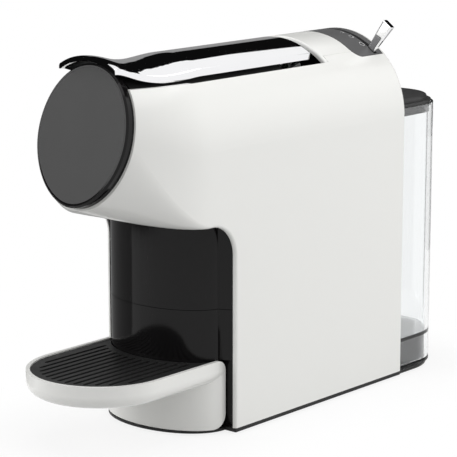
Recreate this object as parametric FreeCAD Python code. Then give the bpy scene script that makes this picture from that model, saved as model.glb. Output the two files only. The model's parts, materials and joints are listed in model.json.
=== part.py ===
import FreeCAD
import Part
import math
import os

from FreeCAD import Vector

# A narrow pod coffee machine, in millimetres. +Z is up, the front faces -Y and +X is the flank
# on the user's right. The origin lies on the table, under the middle of the outline.

# Driving dimensions of the casing
BODY_WIDTH = 112.0
BODY_HEIGHT = 241.0
BODY_DEPTH = 180.0
WALL = 2.5
CLEARANCE = 0.3
REAR_EDGE_ROUND = 2.0

# Head: the nose that carries the front disc
HEAD_START = 25.0
HEAD_BLEND = 4.0
HEAD_TILT = 14.6
DISC_SIDE_INSET = 18.3
DISC_HALF_HEIGHT = 44.5
DISC_CENTRE_AHEAD = 80.0
DISC_DROP = 44.0
DISC_THICKNESS = 6.0
DISC_EDGE = 1.2
DISC_SPIGOT = 5.0
DISC_RIM = 2.4
RING_LIP = 1.4
POINTED_BOTTOM = 1.9
FLANK_EDGE = 2.0
HEAD_SECTIONS = 6
HEAD_EASE = 1.8
CORNER_EASE = 1.4
CORNER_SHARE = 0.97
QUARTER_POINTS = 13

# Cup bay under the head
HEAD_DEPTH = 103.5
BAY_CORNER = 21.0

# Openings and covers along the top
RECESS_DROP = 15.0
REAR_STRIP = 2.6
PANEL_LENGTH = 30.4
PANEL_CORNER = 8.0
BRIDGE_LENGTH = 34.0
BRIDGE_DROP = 11.0
BRIDGE_LIP = 3.0
BRIDGE_EDGE = 1.4
COVER_THICKNESS = 3.0
DECK_DROP = 7.0
DECK_THICKNESS = 2.5
DECK_TO_PIVOT = 14.0
DECK_SPREAD = 51.0
POD_SLOT_HALF = 19.5
POD_SLOT_LENGTH = 30.0

# Lever
LEVER_TO_BRIDGE = 2.5
LEVER_SIDE_GAP = 8.0
LEVER_THICKNESS = 4.0
LEVER_EDGE = 2.4
LEVER_LIP = 1.2
LEVER_CORNER = 6.0
LEVER_END_ROUND = 4.0
LEVER_SADDLE = 1.5
LIP_AHEAD = 74.0
LIP_RISE = 4.2
LIP_TAPER = 6.5
PIVOT_TO_BRIDGE = 20.0
PIVOT_DROP = 23.0
LUG_X = 19.5
LUG_THICKNESS = 4.0
LUG_R = 7.0
LEVER_SWING = 78.0
SHAFT_R = 4.0
RUNNING_FIT = 0.05

# Brew group, along an axis square to the front disc
PISTON_TRAVEL = 28.0
CAM_REST_R = 46.0
CAM_THICKNESS = 4.0
CAM_HALF_GAP = 8.0
CAM_HUB_R = 8.0
CAM_RIM = 5.0
PIN_R = 3.0
SLOT_SLACK = 0.5
ROD_R = 6.5
CUP_BACK = 62.0
CUP_FRONT = 97.0
CUP_R = 23.0
CUP_WALL = 3.5
CUP_FLOOR = 8.0
POD_R = 18.5
BREW_HEAD_LENGTH = 18.0
CHEEK_X = 25.5
CHEEK_THICKNESS = 3.0
CHEEK_HEIGHT = 13.0
FRAME_SCREW_R = 2.6
FRAME_SCREW_HEIGHT = 1.8
FRAME_SCREW_PITCH = 8.0

# Spout
SPOUT_AHEAD = 64.0
SPOUT_R = 9.0
SPOUT_BORE_R = 3.5
SPOUT_RECESS = 12.5
SPOUT_LENGTH = 22.0
DUCT_R = 6.0

# Black front column and pod bin
COLUMN_SIDE_INSET = 11.0
COLUMN_REACH = 28.0
COLUMN_SQUARENESS = 2.0
COLUMN_OVERLAP = 12.5
SEAM_Z = 81.0
BIN_DEPTH = 45.0
BIN_WALL = 2.0

# Drip tray
TRAY_CENTRE_AHEAD = 63.7
TRAY_SIDE_INSET = 8.0
TRAY_TOP = 48.0
TRAY_BOTTOM = 33.0
TRAY_ROUND = 8.0
TRAY_WALL = 2.6
TRAY_FLOOR = 2.4
PEDESTAL_REAR = 0.6
WING_TOP_CORNER = 7.0
WING_LOW_CORNER = 10.0
PEDESTAL_BOTTOM = 2.8
PEDESTAL_FLOOR = 2.6
GRILLE_THICKNESS = 3.0
GRILLE_DROP = 0.8
GRILLE_SLOT = 2.6
GRILLE_PITCH = 6.0
GRILLE_MARGIN = 7.0
GRILLE_LEDGE = 2.0

# Base
FOOT_HEIGHT = 1.0
FOOT_R = 7.0
BASE_THICKNESS = 2.5
BASE_RIM = 4.0
FOOT_INSET = 12.0
SCREW_R = 1.6
SCREW_HEAD_R = 3.0
SCREW_HEAD_HEIGHT = 1.2

# Water tank
TANK_SIDE_INSET = 6.0
TANK_DEPTH = 66.0
TANK_CORNER = 36.0
TANK_FRONT_CORNER = 6.0
TANK_DROP = 53.0
TANK_WALL = 2.6
TANK_FLOOR_Z = 21.0
TANK_GAP = 0.5
DOME_R = 24.0
DOME_RISE = 13.0
VALVE_BORE = 5.0
DOCK_GAP = 0.6
RIM_STEP = 1.2
LID_SEAT = 1.5
LID_FLANGE = 1.8
LID_PLATE = 5.2
LID_SKIRT = 6.0
LID_STEP = 3.0
NOZZLE_LENGTH = 9.0
SOCKET_ROOM = 3.0
SEAL_R = 0.75
SUCTION_Z = 12.5

# Control panel and selector
SELECTOR_TO_REAR = 10.25
SELECTOR_SLOT = 3.5
SELECTOR_STEM = 2.4
SELECTOR_END_WEB = 1.0
SELECTOR_END_ROOM = 4.0
PADDLE_HEIGHT = 22.3
PADDLE_WIDTH = 8.6
PADDLE_DEPTH = 5.0
PADDLE_TAPER = 1.3
PADDLE_ROUND = 1.4
PADDLE_EDGE = 0.6
PADDLE_GAP = 0.8
SELECTOR_UNDER = 2.0
SELECTOR_HUB = 6.0
SELECTOR_HUB_R = 8.0
SELECTOR_SHAFT_R = 3.0
SELECTOR_SHAFT_LENGTH = 18.5
LIGHT_ANGLES = (31.0, 20.5, 12.0)
LIGHT_R = 1.3
LIGHT_TO_REAR = 15.5
BOARD_DROP = 33.0
BOARD_HALF = 26.8
RAIL_WIDTH = 4.0
BOARD_THICKNESS = 1.6

# Water works inside
PUMP_R = 19.0
PUMP_LENGTH = 84.0
PUMP_TO_REAR = 32.0
PUMP_Z = 38.0
PUMP_MOUNT_WIDTH = 9.0
PUMP_MOUNT_R = 15.0
HEATER_SIZE = (56.0, 46.0, 60.0)
HEATER_SIDE_GAP = 0.8
HEATER_TO_REAR = 26.0
HEATER_TO_PIVOT = 126.0
CHASSIS_FLANGE = 4.7
CHASSIS_WALL = 2.5
CHASSIS_TO_BIN = 5.0
CHASSIS_TO_REAR = 8.0
CHASSIS_TO_PIVOT = 42.0
HOSE_R = 3.5
HOSE_BEND = 7.0
BAY_WALL_TO_PIVOT = 58.0
BAY_WALL = 1.6
PUMP_BARREL_R = 10.0
METER_R = 14.0
METER_LENGTH = 16.0
METER_TO_REAR = 30.0
GLAND_R = 7.0
GLAND_BORE = 3.6
GLAND_TO_REAR = 22.0
GLAND_Z = 18.0

# Worked-out places
HALF = BODY_WIDTH / 2
ARC_Z = BODY_HEIGHT - HALF
DISC_HALF_WIDTH = HALF - DISC_SIDE_INSET
DISC_CENTRE_Z = BODY_HEIGHT - DISC_DROP
BAY_TOP = BODY_HEIGHT - HEAD_DEPTH
TOP_OPEN_Z = BODY_HEIGHT - RECESS_DROP
TOP_OPEN_HALF = math.sqrt(HALF ** 2 - (HALF - RECESS_DROP) ** 2)
BRIDGE_HALF = math.sqrt(HALF ** 2 - (HALF - BRIDGE_DROP) ** 2)
TOP_OPEN_REAR = BODY_DEPTH - REAR_STRIP
PANEL_FRONT = TOP_OPEN_REAR - PANEL_LENGTH
LEVER_BAY_REAR = PANEL_FRONT - BRIDGE_LENGTH
LEVER_REAR = LEVER_BAY_REAR - LEVER_TO_BRIDGE
LEVER_HALF = TOP_OPEN_HALF - LEVER_SIDE_GAP
LIP_HALF = LEVER_HALF - LIP_TAPER
PIVOT_BEHIND = LEVER_BAY_REAR - PIVOT_TO_BRIDGE
PIVOT_Z = BODY_HEIGHT - PIVOT_DROP
DECK_REAR = PIVOT_BEHIND - DECK_TO_PIVOT
SPOUT_BOTTOM = BAY_TOP + SPOUT_RECESS
SPOUT_TOP = SPOUT_BOTTOM + SPOUT_LENGTH
COLUMN_HALF = HALF - COLUMN_SIDE_INSET
COLUMN_TOP = BAY_TOP + COLUMN_OVERLAP
TRAY_R = HALF - TRAY_SIDE_INSET
PEDESTAL_REACH = COLUMN_REACH + TRAY_R - COLUMN_HALF
BIN_BOTTOM = PEDESTAL_BOTTOM + PEDESTAL_FLOOR
TANK_HALF = HALF - TANK_SIDE_INSET
TANK_RIM = BODY_HEIGHT - TANK_DROP
SELECTOR_Y = BODY_DEPTH - SELECTOR_TO_REAR
SELECTOR_SLOT_END = math.degrees(math.asin((TOP_OPEN_HALF - CLEARANCE) / HALF)) - SELECTOR_END_WEB
SELECTOR_REST = SELECTOR_SLOT_END - SELECTOR_END_ROOM
LIGHT_Y = BODY_DEPTH - LIGHT_TO_REAR
BOARD_Z = BODY_HEIGHT - BOARD_DROP
PUMP_FRONT = BODY_DEPTH - PUMP_TO_REAR - PUMP_LENGTH
BIN_REAR = BIN_DEPTH
HEATER_FRONT = BODY_DEPTH - HEATER_TO_REAR - HEATER_SIZE[1]
HEATER_Z = PIVOT_Z - HEATER_TO_PIVOT
CHASSIS_INNER = max(CHEEK_X + CHEEK_THICKNESS + CLEARANCE, HEATER_SIZE[0] / 2 + HEATER_SIDE_GAP)
CHASSIS_HALF = CHASSIS_INNER + CHASSIS_WALL + CHASSIS_FLANGE
CHASSIS_FRONT = BIN_REAR + CHASSIS_TO_BIN
CHASSIS_REAR = BODY_DEPTH - CHASSIS_TO_REAR
CHASSIS_TOP = PIVOT_Z - CHASSIS_TO_PIVOT
BAY_WALL_TOP = PIVOT_Z - BAY_WALL_TO_PIVOT
METER_Y = BODY_DEPTH - METER_TO_REAR
GLAND_Y = BODY_DEPTH - GLAND_TO_REAR
TRAY_REACH = TRAY_CENTRE_AHEAD + TRAY_R
EDGE_Y = (TRAY_REACH - BODY_DEPTH - TANK_DEPTH) / 2
BASE_TOP = FOOT_HEIGHT + BASE_THICKNESS
SHELL_BOTTOM = BASE_TOP
TANK_BOTTOM = BASE_TOP + TANK_GAP
TILT = math.radians(HEAD_TILT)
AXIS = Vector(0, -math.cos(TILT), -math.sin(TILT))
AXIS_UP = Vector(0, -math.sin(TILT), math.cos(TILT))
FACE_OUT = Vector(0, -math.cos(TILT), math.sin(TILT))
FACE_UP = Vector(0, math.sin(TILT), math.cos(TILT))
PIVOT = Vector(0, EDGE_Y + PIVOT_BEHIND, PIVOT_Z)
DISC_FACE = Vector(0, EDGE_Y - DISC_CENTRE_AHEAD, DISC_CENTRE_Z)
X = Vector(1, 0, 0)
Y = Vector(0, 1, 0)
Z = Vector(0, 0, 1)
PARTS = {}


def behind(distance):
    """The y of a place that far behind the front edge of the casing's flanks."""
    return EDGE_Y + distance


def add(name, shape):
    PARTS[name] = shape.removeSplitter() if shape.ShapeType != "Compound" else shape


def box(x0, x1, y0, y1, z0, z1):
    return Part.makeBox(x1 - x0, y1 - y0, z1 - z0, Vector(x0, y0, z0))


def cylinder(start, direction, radius, length):
    return Part.makeCylinder(radius, length, start, direction)


def tube(start, direction, outer, inner, length):
    return cylinder(start, direction, outer, length).cut(cylinder(start, direction, inner, length))


def prism(wire, direction):
    return Part.Face(wire).extrude(direction)


def spline(points):
    """A smooth curve through the points, which share the curve evenly."""
    last = len(points) - 1
    curve = Part.BSplineCurve()
    curve.interpolate(Points=points, Parameters=[i / last for i in range(last + 1)])
    return curve.toShape()


def polygon(points):
    return Part.makePolygon(points + points[:1])


# Casing forms

def quarter(centre, across, along, power, flip):
    """A quarter of a superellipse, from the end of across to the end of along, or back if flip."""
    points = [centre + across]
    for i in range(1, QUARTER_POINTS - 1):
        t = math.pi / 2 * i / (QUARTER_POINTS - 1)
        c, s = math.cos(t), math.sin(t)
        reach = (c ** power + s ** power) ** (-1 / power)
        points.append(centre + across * (c * reach) + along * (s * reach))
    points.append(centre + along)
    return spline(points[::-1] if flip else points)


def oval(centre, up, half, top, bottom, power):
    """A closed oval: a half ellipse above the centre and a superellipse below it."""
    return Part.Wire([
        quarter(centre, X * half, up * top, 2, False),
        quarter(centre, X * -half, up * top, 2, True),
        quarter(centre, X * -half, up * -bottom, power, False),
        quarter(centre, X * half, up * -bottom, power, True),
    ])


def head_section(share, inset):
    """The nose's section: share 0 is at the disc, 1 where it meets the straight casing."""
    ease = 1 - (1 - share) ** HEAD_EASE

    def between(front, rear):
        return front + (rear - front) * ease

    ring = DISC_FACE - FACE_OUT * DISC_THICKNESS
    along = ring.y + (behind(-HEAD_START) - ring.y) * share
    tilt = TILT * (1 - share)
    up = Vector(0, math.sin(tilt), math.cos(tilt))
    half = between(DISC_HALF_WIDTH + RING_LIP, HALF) - inset
    top = between(DISC_HALF_HEIGHT + RING_LIP, HALF) - inset
    bottom = between(DISC_HALF_HEIGHT + RING_LIP, ARC_Z - BAY_TOP) - inset
    edge = max(FLANK_EDGE - inset, FLANK_EDGE / 2)
    roundness = (1 - share) ** CORNER_EASE
    wide = edge + (half * CORNER_SHARE - edge) * roundness
    tall = edge + (bottom * CORNER_SHARE - edge) * roundness
    power = POINTED_BOTTOM + (2 - POINTED_BOTTOM) * share
    centre = Vector(0, along, between(ring.z, ARC_Z))
    right, left = centre + X * half, centre - X * half
    low = up * (tall - bottom)
    turn_r, turn_l = right - X * wide + low, left + X * wide + low
    return Part.Wire([
        quarter(centre, X * half, up * top, 2, False),
        quarter(centre, X * -half, up * top, 2, True),
        Part.makeLine(left, left + low),
        quarter(turn_l, X * -wide, up * -tall, power, False),
        Part.makeLine(turn_l - up * tall, turn_r - up * tall),
        quarter(turn_r, X * wide, up * -tall, power, True),
        Part.makeLine(right + low, right),
    ])


def head(inset):
    wires = [head_section(i / (HEAD_SECTIONS - 1), inset) for i in range(HEAD_SECTIONS)]
    last = wires[-1].copy()
    last.translate(Y * HEAD_BLEND)
    return Part.makeLoft(wires + [last], True, False)


def arch(y0, y1, inset, bottom):
    """The straight casing's section, flat flanks under a half round, from y0 to y1."""
    r = HALF - inset
    left, right = Vector(-r, y0, bottom), Vector(r, y0, bottom)
    centre = Vector(0, y0, ARC_Z)
    wire = Part.Wire([
        quarter(centre, X * r, Z * r, 2, False),
        quarter(centre, X * -r, Z * r, 2, True),
        Part.makeLine(centre - X * r, left),
        Part.makeLine(left, right),
        Part.makeLine(right, centre + X * r),
    ])
    return prism(wire, Vector(0, y1 - y0, 0))


def bay_cutter():
    """What the cup bay takes from the straight casing: everything below and ahead of its corner."""
    block = box(-HALF - 5, HALF + 5, behind(-HEAD_START - 5), behind(0), -5, BAY_TOP)
    corner = [e for e in block.Edges if abs(e.BoundBox.YMin - behind(0)) < 1e-6
              and abs(e.BoundBox.YMax - behind(0)) < 1e-6 and abs(e.BoundBox.ZMin - BAY_TOP) < 1e-6
              and abs(e.BoundBox.ZMax - BAY_TOP) < 1e-6]
    return block.makeFillet(BAY_CORNER, corner)


def column_wire(half, reach, rear, z):
    """The front column's plan: a bowed front between straight sides that run back to rear."""
    centre = Vector(0, behind(0), z)
    front_l = quarter(centre, X * -half, Y * -reach, COLUMN_SQUARENESS, False)
    front_r = quarter(centre, X * half, Y * -reach, COLUMN_SQUARENESS, True)
    right, left = Vector(half, behind(0), z), Vector(-half, behind(0), z)
    back_r, back_l = Vector(half, rear, z), Vector(-half, rear, z)
    return Part.Wire([front_l, front_r, Part.makeLine(right, back_r), Part.makeLine(back_r, back_l),
                      Part.makeLine(back_l, left)])


def column_solid(half, reach, rear, z0, z1):
    return prism(column_wire(half, reach, rear, z0), Vector(0, 0, z1 - z0))


def top_opening():
    """The opening in the casing's top: a level cut over the nose, upright sides behind it."""
    joint, step = behind(-HEAD_START + HEAD_BLEND), behind(LEVER_BAY_REAR + BRIDGE_LIP) + CLEARANCE
    half = BRIDGE_HALF + CLEARANCE
    nose = box(-HALF, HALF, behind(-DISC_CENTRE_AHEAD - HEAD_START), joint, TOP_OPEN_Z, BODY_HEIGHT + HALF)
    bay = box(-TOP_OPEN_HALF, TOP_OPEN_HALF, joint, step, ARC_Z, BODY_HEIGHT + HALF)
    bridge = box(-half, half, step, behind(PANEL_FRONT) + PANEL_CORNER, ARC_Z, BODY_HEIGHT + HALF)
    return nose.fuse(bay).fuse(bridge).fuse(panel_plan(CLEARANCE))


def casing():
    joint = behind(-HEAD_START + HEAD_BLEND)
    outer = arch(joint, behind(BODY_DEPTH), 0, SHELL_BOTTOM).cut(bay_cutter())
    rear = [e for e in outer.Edges if e.BoundBox.YMin > behind(BODY_DEPTH) - 1e-6
            and e.BoundBox.ZMax > SHELL_BOTTOM + 1]
    outer = outer.makeFillet(REAR_EDGE_ROUND, rear)
    front = [e for e in outer.Edges if abs(e.BoundBox.XMin) > HALF - 0.01 and e.BoundBox.XLength < 0.01
             and e.BoundBox.YMax < behind(0.01) and e.BoundBox.ZMax < BAY_TOP + 0.01]
    outer = outer.makeFillet(FLANK_EDGE, front)
    inner = arch(joint, behind(BODY_DEPTH) + 1, WALL, SHELL_BOTTOM - 1)
    shell = outer.fuse(head(0)).cut(inner.fuse(head(WALL)))
    shell = shell.cut(top_opening())
    shell = shell.cut(column_solid(COLUMN_HALF + CLEARANCE, COLUMN_REACH + CLEARANCE, behind(WALL), 0, ARC_Z))
    spout_hole = cylinder(Vector(0, behind(-SPOUT_AHEAD), 0), Z, SPOUT_R + CLEARANCE, ARC_Z)
    gland_hole = cylinder(Vector(-HALF - 1, behind(GLAND_Y), GLAND_Z), X, GLAND_R, WALL + 2)
    return shell.cut(spout_hole).cut(gland_hole)


def disc_face(inset, centre):
    size = DISC_HALF_HEIGHT - inset
    return oval(centre, FACE_UP, DISC_HALF_WIDTH - inset, size, size, POINTED_BOTTOM)


def front_disc():
    """The matt face, with the spigot that holds it in the nose."""
    back = DISC_FACE - FACE_OUT * DISC_THICKNESS
    plate = prism(disc_face(DISC_RIM + RUNNING_FIT, DISC_FACE), FACE_OUT * -DISC_THICKNESS)
    spigot = prism(disc_face(WALL + CLEARANCE, back), FACE_OUT * -DISC_SPIGOT)
    hollow = prism(disc_face(WALL * 2 + CLEARANCE, back), FACE_OUT * -DISC_SPIGOT)
    return plate.fuse(spigot.cut(hollow))


def disc_rim():
    """The bevelled ring round the face."""
    ring = prism(disc_face(0, DISC_FACE), FACE_OUT * -DISC_THICKNESS)
    edge = [e for e in ring.Edges if abs((e.CenterOfMass - DISC_FACE).dot(FACE_OUT)) < 0.01]
    ring = ring.makeChamfer(DISC_EDGE, edge)
    return ring.cut(prism(disc_face(DISC_RIM, DISC_FACE + FACE_OUT), FACE_OUT * -(DISC_THICKNESS + 2)))


def front_column():
    """The fixed black column over the pod bin, with the flange that closes the casing's front."""
    outer = column_solid(COLUMN_HALF, COLUMN_REACH, behind(WALL), SEAM_Z + CLEARANCE, COLUMN_TOP)
    inner = column_solid(COLUMN_HALF - WALL, COLUMN_REACH - WALL, behind(WALL * 2), SEAM_Z, COLUMN_TOP + 1)
    flange_half = HALF - WALL - CLEARANCE
    flange = box(-flange_half, flange_half, behind(CLEARANCE), behind(WALL), BASE_TOP + CLEARANCE, COLUMN_TOP)
    gap = COLUMN_HALF + CLEARANCE * 2
    doorway = box(-gap, gap, behind(-1), behind(WALL + 1), 0, SEAM_Z + CLEARANCE)
    return outer.fuse(flange.cut(doorway)).cut(inner)


def deck():
    """The black floor under the lever, with the slot that a pod drops through."""
    joint = behind(-HEAD_START + HEAD_BLEND)
    low = DECK_DROP + DECK_THICKNESS
    upper = arch(joint, behind(DECK_REAR), DECK_DROP, BAY_TOP + DECK_DROP).fuse(head(DECK_DROP))
    lower = arch(joint, behind(DECK_REAR), low, BAY_TOP + low).fuse(head(low))
    keep_z = ARC_Z + (HALF - DECK_DROP) * math.cos(math.radians(DECK_SPREAD))
    keep = box(-HALF, HALF, behind(-DISC_CENTRE_AHEAD), behind(DECK_REAR), keep_z, BODY_HEIGHT)
    mouth = PIVOT.y - CUP_FRONT
    slot = box(-POD_SLOT_HALF, POD_SLOT_HALF, mouth, mouth + POD_SLOT_LENGTH, ARC_Z, BODY_HEIGHT)
    front = behind(-DISC_CENTRE_AHEAD) + DISC_THICKNESS + DISC_SPIGOT + 10
    ahead = box(-HALF, HALF, behind(-DISC_CENTRE_AHEAD - 20), front, 0, BODY_HEIGHT)
    reach = CAM_REST_R + PIN_R + SLOT_SLACK + CAM_RIM + 4
    cam_half = CAM_HALF_GAP + CAM_THICKNESS + 4
    notch = box(-cam_half, cam_half, PIVOT.y - reach, behind(DECK_REAR) + 1, ARC_Z, BODY_HEIGHT)
    return upper.cut(lower).common(keep).cut(slot).cut(ahead).cut(notch)


def top_band(y0, y1, inset, thickness, half):
    """A piece of the round top between two cross planes, with upright sides."""
    band = tube(Vector(0, y0, ARC_Z), Y, HALF - inset, HALF - inset - thickness, y1 - y0)
    return band.common(box(-half, half, y0, y1, ARC_Z, BODY_HEIGHT + 1))


def panel_plan(grow):
    """The control panel's plan, with rounded front corners, as an upright block."""
    half = TOP_OPEN_HALF - CLEARANCE + grow
    front, rear = behind(PANEL_FRONT) - grow, behind(TOP_OPEN_REAR) - CLEARANCE + grow
    block = box(-half, half, front, rear, ARC_Z, BODY_HEIGHT + 1)
    corners = [e for e in block.Edges if e.BoundBox.ZLength > 1 and e.BoundBox.YMax < front + 1]
    return block.makeFillet(PANEL_CORNER, corners)


def top_bridge():
    """The white cover behind the lever: a full-width lip, then a narrower plate up to the panel."""
    front, lip = behind(LEVER_BAY_REAR), behind(LEVER_BAY_REAR + BRIDGE_LIP)
    bar = top_band(front, lip, 0, COVER_THICKNESS, TOP_OPEN_HALF - CLEARANCE)
    edge = [e for e in bar.Edges if e.BoundBox.YMax < front + 1e-6 and e.BoundBox.ZMax > BODY_HEIGHT - 0.1]
    bar = bar.makeFillet(BRIDGE_EDGE, edge)
    plate = top_band(lip, behind(PANEL_FRONT) + PANEL_CORNER, 0, COVER_THICKNESS, BRIDGE_HALF)
    return bar.fuse(plate).cut(panel_plan(CLEARANCE))


def radial(angle, radius, y):
    a = math.radians(angle)
    return Vector(radius * math.sin(a), y, ARC_Z + radius * math.cos(a))


def sector(y0, y1, inner, outer, angle0, angle1):
    """A block of a ring about the top's axis, between two angles from the upright."""
    points = [radial(angle0, inner, y0), radial(angle0, outer, y0),
              radial(angle1, outer, y0), radial(angle1, inner, y0)]
    middle = (angle0 + angle1) / 2
    wire = Part.Wire([
        Part.makeLine(points[0], points[1]),
        Part.Arc(points[1], radial(middle, outer, y0), points[2]).toShape(),
        Part.makeLine(points[2], points[3]),
        Part.Arc(points[3], radial(middle, inner, y0), points[0]).toShape(),
    ])
    return prism(wire, Vector(0, y1 - y0, 0))


def control_panel():
    panel = top_band(behind(PANEL_FRONT), behind(TOP_OPEN_REAR) - CLEARANCE, 0, COVER_THICKNESS,
                     TOP_OPEN_HALF - CLEARANCE).common(panel_plan(0))
    middle = behind(SELECTOR_Y)
    slot = sector(middle - SELECTOR_SLOT / 2, middle + SELECTOR_SLOT / 2,
                  HALF - COVER_THICKNESS - 1, HALF + 1, -SELECTOR_SLOT_END, SELECTOR_SLOT_END)
    panel = panel.cut(slot)
    for angle in LIGHT_ANGLES:
        direction = radial(angle, 1, 0) - Vector(0, 0, ARC_Z)
        panel = panel.cut(cylinder(radial(angle, HALF - COVER_THICKNESS - 2, behind(LIGHT_Y)), direction,
                                   LIGHT_R + 0.1, COVER_THICKNESS + 4))
    return panel


def panel_lights():
    lights = []
    for angle in LIGHT_ANGLES:
        direction = radial(angle, 1, 0) - Vector(0, 0, ARC_Z)
        start = radial(angle, HALF - COVER_THICKNESS, behind(LIGHT_Y))
        lights.append(cylinder(start, direction, LIGHT_R, COVER_THICKNESS - 0.1))
    return Part.makeCompound(lights)


def selector_paddle():
    """The chrome paddle above the slot, wider at its top, and its stem through the slot."""
    middle = behind(SELECTOR_Y)
    bottom = ARC_Z + HALF + PADDLE_GAP
    top = bottom + PADDLE_HEIGHT

    def plan(shrink, z):
        half, deep = PADDLE_WIDTH / 2 - shrink, PADDLE_DEPTH / 2 - shrink / 2
        return rounded_plan(half, middle - deep, middle + deep, PADDLE_ROUND, PADDLE_ROUND, z)

    blade = Part.makeLoft([plan(PADDLE_TAPER, bottom), plan(0, top)], True, True)
    rim = [e for e in blade.Edges if e.BoundBox.ZMin > top - 0.01]
    blade = blade.makeFillet(PADDLE_EDGE, rim)
    half = PADDLE_WIDTH / 2 - PADDLE_TAPER
    stem = box(-half, half, middle - SELECTOR_STEM / 2, middle + SELECTOR_STEM / 2,
               ARC_Z + HALF - COVER_THICKNESS - SELECTOR_UNDER, bottom)
    paddle = blade.fuse(stem)
    paddle.rotate(Vector(0, middle, ARC_Z), Y, SELECTOR_REST)
    return paddle


def selector_arm():
    """The arm under the panel that carries the paddle round the top's axis."""
    middle = behind(SELECTOR_Y)
    half = PADDLE_WIDTH / 2 - PADDLE_TAPER
    bar = box(-half, half, middle - SELECTOR_STEM / 2, middle + SELECTOR_STEM / 2,
              ARC_Z, ARC_Z + HALF - COVER_THICKNESS - SELECTOR_UNDER)
    hub = cylinder(Vector(0, middle - SELECTOR_HUB / 2, ARC_Z), Y, SELECTOR_HUB_R, SELECTOR_HUB)
    bore = cylinder(Vector(0, middle - SELECTOR_HUB, ARC_Z), Y,
                    SELECTOR_SHAFT_R + RUNNING_FIT, SELECTOR_HUB * 2)
    arm = bar.fuse(hub).cut(bore)
    arm.rotate(Vector(0, middle, ARC_Z), Y, SELECTOR_REST)
    return arm


def rear_panel():
    inset = WALL + CLEARANCE
    plate = arch(behind(BODY_DEPTH - WALL), behind(BODY_DEPTH), inset, BASE_TOP + CLEARANCE)
    boss = cylinder(Vector(0, behind(BODY_DEPTH - WALL - 2), ARC_Z), Y, SELECTOR_HUB_R, 2)
    pocket = cylinder(Vector(0, behind(BODY_DEPTH - WALL - 3), ARC_Z), Y, SELECTOR_SHAFT_R + RUNNING_FIT, 4)
    hose_hole = cylinder(Vector(0, behind(BODY_DEPTH - WALL - 1), SUCTION_Z), Y, HOSE_R + CLEARANCE, WALL + 2)
    return plate.fuse(boss).cut(pocket).cut(hose_hole)


def selector_shaft():
    start = behind(BODY_DEPTH - WALL + 1) - SELECTOR_SHAFT_LENGTH
    return cylinder(Vector(0, start, ARC_Z), Y, SELECTOR_SHAFT_R, SELECTOR_SHAFT_LENGTH)


def control_board():
    """A board in two rails, under the panel's lights."""
    front, rear = behind(PANEL_FRONT + 2), behind(SELECTOR_Y - SELECTOR_SLOT - 2)
    return box(-BOARD_HALF, BOARD_HALF, front, rear, BOARD_Z, BOARD_Z + BOARD_THICKNESS)


def board_rails():
    """Two rails that hang the control board from the bridge and the panel."""
    rails = []
    inner = BOARD_HALF + 0.2
    outer = inner + RAIL_WIDTH
    top = ARC_Z + math.sqrt((HALF - COVER_THICKNESS) ** 2 - outer ** 2)
    front, rear = behind(PANEL_FRONT - BRIDGE_LENGTH / 2), behind(SELECTOR_Y - SELECTOR_SLOT - 2)
    groove = box(-inner, inner, front, rear, BOARD_Z - 0.1, BOARD_Z + BOARD_THICKNESS + 0.1)
    for x in (-outer, inner - 2):
        rails.append(box(x, x + RAIL_WIDTH + 2, front, rear, BOARD_Z - 2, top).cut(groove))
    return Part.makeCompound(rails)


# Lever and brew group

def lever_section(y, crest, half, radius, thickness):
    """One cross-section of the lever: a bowed strip with rolled edges, in the plane square to Y."""
    low = crest - radius
    inner, inside = radius - thickness, half - LEVER_LIP
    height = math.sqrt((radius - LEVER_EDGE) ** 2 - (half - LEVER_EDGE) ** 2)
    roll = Vector(half - LEVER_EDGE, y, low + height)
    lean = math.asin((half - LEVER_EDGE) / (radius - LEVER_EDGE))
    middle = (lean + math.pi / 2) / 2
    outer = roll + Vector(math.sin(lean), 0, math.cos(lean)) * LEVER_EDGE
    turn = roll + Vector(math.sin(middle), 0, math.cos(middle)) * LEVER_EDGE
    side = roll + X * LEVER_EDGE
    under = Vector(inside, y, low + math.sqrt(inner ** 2 - inside ** 2))
    foot = Vector(half, y, under.z)

    def mirrored(point):
        return Vector(-point.x, point.y, point.z)

    return Part.Wire([
        Part.Arc(mirrored(outer), Vector(0, y, crest), outer).toShape(),
        Part.Arc(outer, turn, side).toShape(),
        Part.makeLine(side, foot),
        Part.makeLine(foot, under),
        Part.Arc(under, Vector(0, y, crest - thickness), mirrored(under)).toShape(),
        Part.makeLine(mirrored(under), mirrored(foot)),
        Part.makeLine(mirrored(foot), mirrored(side)),
        Part.Arc(mirrored(side), mirrored(turn), mirrored(outer)).toShape(),
    ])


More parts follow.
